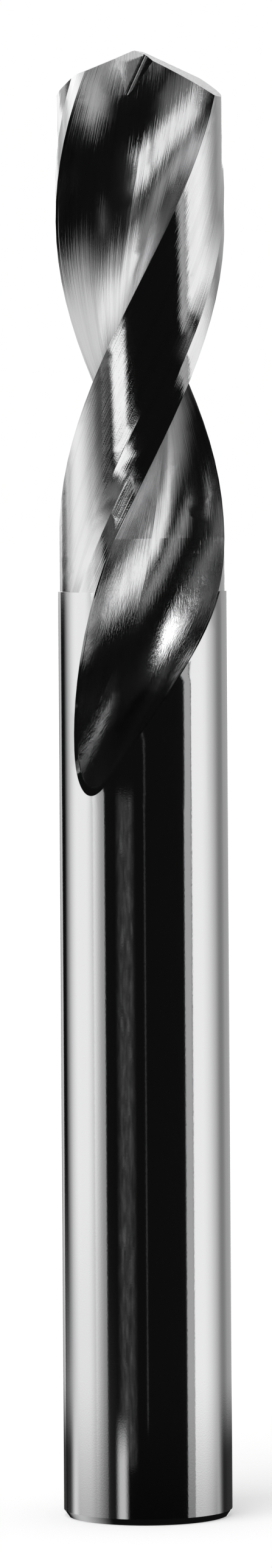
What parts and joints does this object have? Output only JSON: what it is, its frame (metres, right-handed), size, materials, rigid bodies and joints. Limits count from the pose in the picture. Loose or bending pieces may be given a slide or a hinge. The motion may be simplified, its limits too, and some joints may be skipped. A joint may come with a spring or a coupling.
{
  "type": "carbide drill bit",
  "caption": "Right-hand carbide twist drill with a plain cylindrical shank, helical flutes that run out below the lands, and a ground point thinned at its web.",
  "frame": {"origin": "centre of the shank's flat end face, on which the drill stands", "axes": "+Z along the drill's axis towards the point, -Y towards the viewer of the front, +X to the viewer's right"},
  "size_m": [0.0102, 0.0102, 0.0885],
  "materials": {
    "ground_carbide": "ground"
  },
  "bodies": {
    "root": {"drill_bit": "ground_carbide"}
  },
  "joints": []
}
